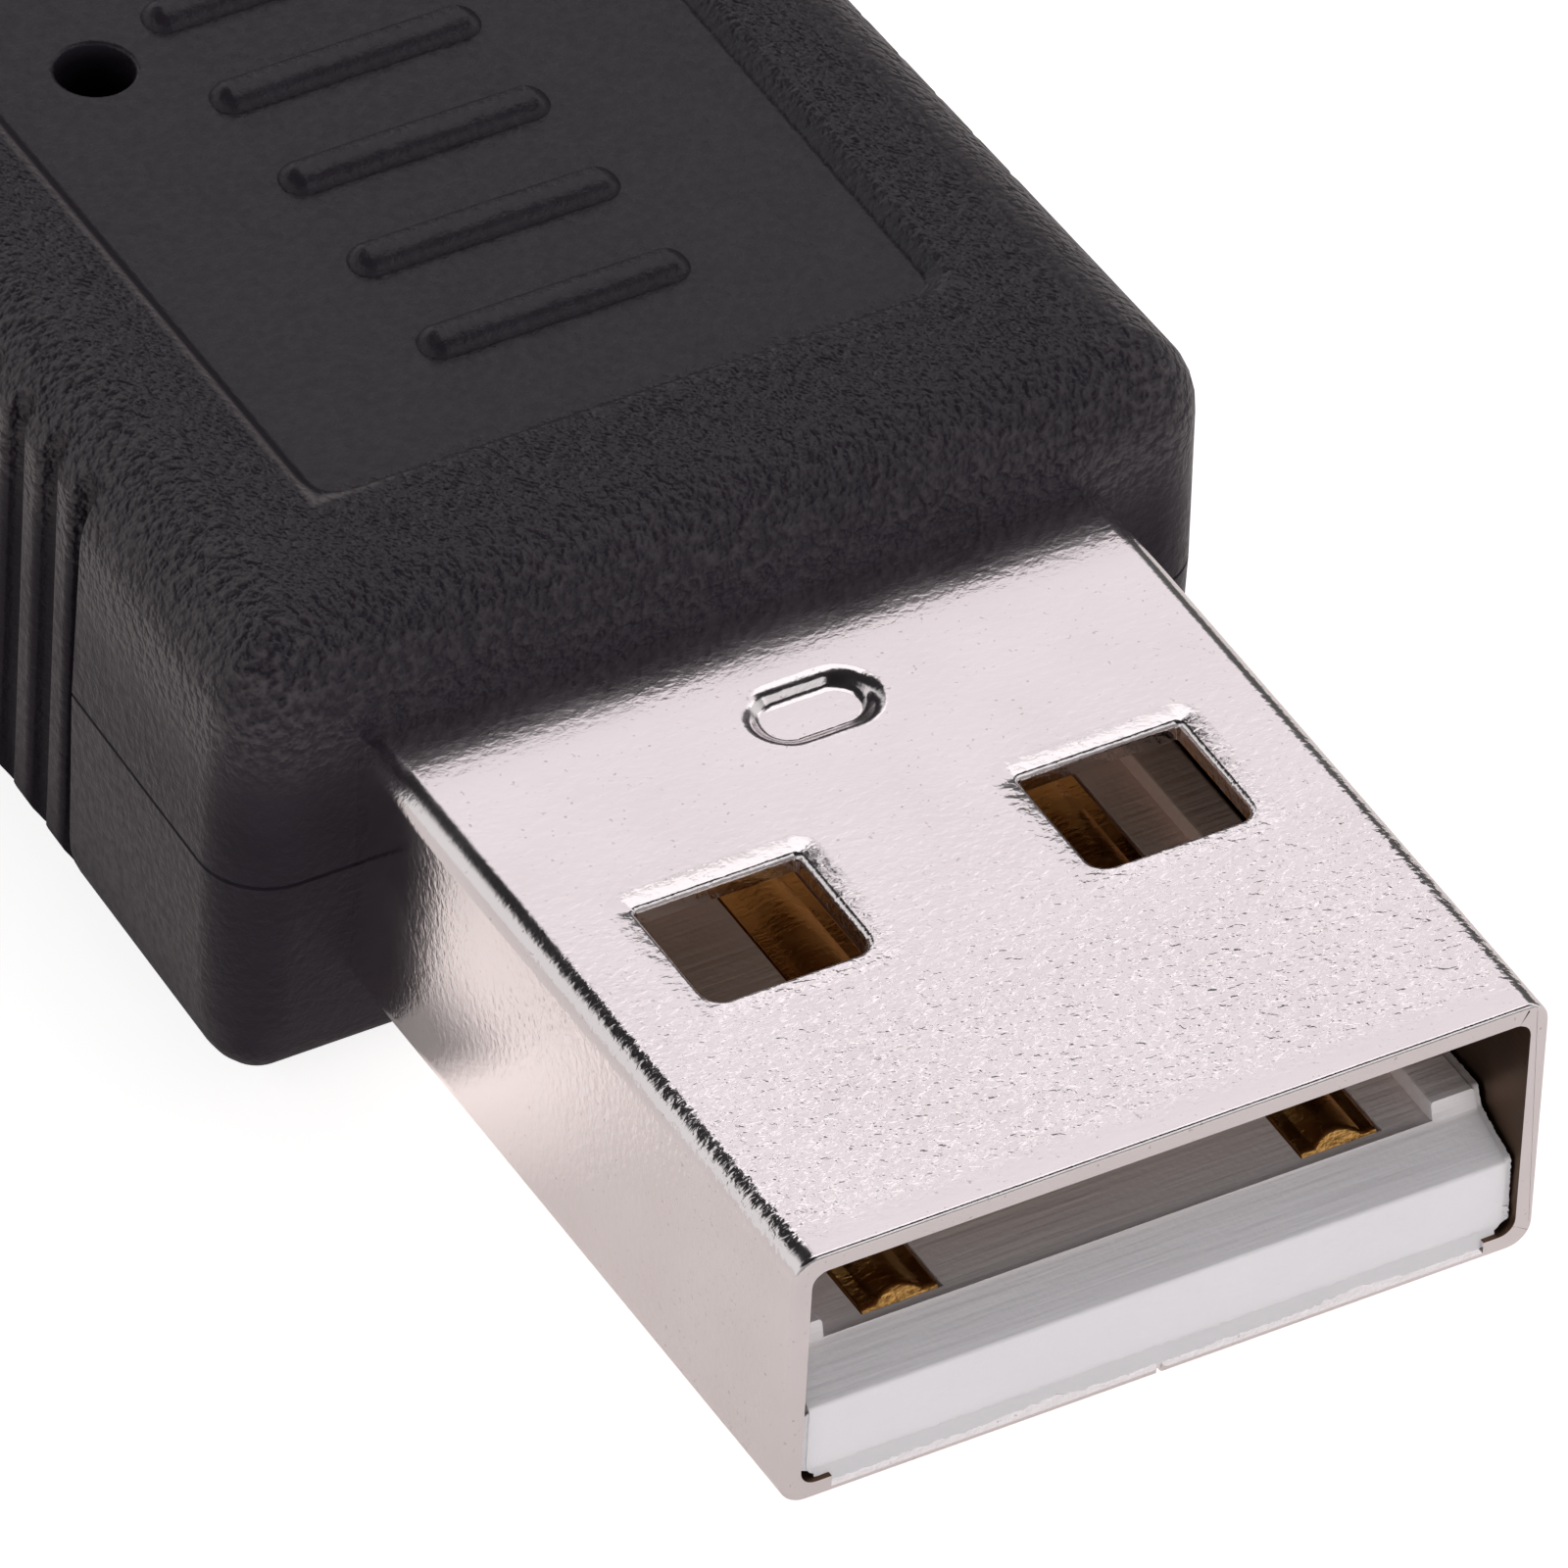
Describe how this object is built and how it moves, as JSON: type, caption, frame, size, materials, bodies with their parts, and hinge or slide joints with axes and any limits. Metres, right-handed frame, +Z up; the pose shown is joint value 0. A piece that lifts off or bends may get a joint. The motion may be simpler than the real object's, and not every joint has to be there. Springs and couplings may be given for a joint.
{
  "type": "usb-a plug",
  "caption": "Rectangular metal plug with latch windows, a white contact tongue and a moulded charcoal grip with side grooves, bored for its cable.",
  "frame": {"origin": "middle of the plug's box, on the flat underside of the grip", "axes": "+Y along the plug from the mouth back to the cable, +X across the shell, +Z up from the tongue to the free cavity"},
  "size_m": [0.0158, 0.0376, 0.0083],
  "materials": {
    "grip_vinyl": "charcoal soft vinyl, spark-eroded grain",
    "inner_mould_plastic": "plain black",
    "shell_plating": "nickel plated, satin",
    "insulator_plastic": "white, as moulded",
    "contact_gilding": "thin gold over stamped alloy",
    "shield_tin": "tin plated, matt"
  },
  "bodies": {
    "root": {"grip": "grip_vinyl", "inner_mould": "inner_mould_plastic", "shell": "shell_plating", "insulator": "insulator_plastic", "contact_power": "contact_gilding", "contact_data_minus": "contact_gilding", "contact_data_plus": "contact_gilding", "contact_ground": "contact_gilding", "shield_upper": "shield_tin", "shield_lower": "shield_tin"}
  },
  "joints": []
}
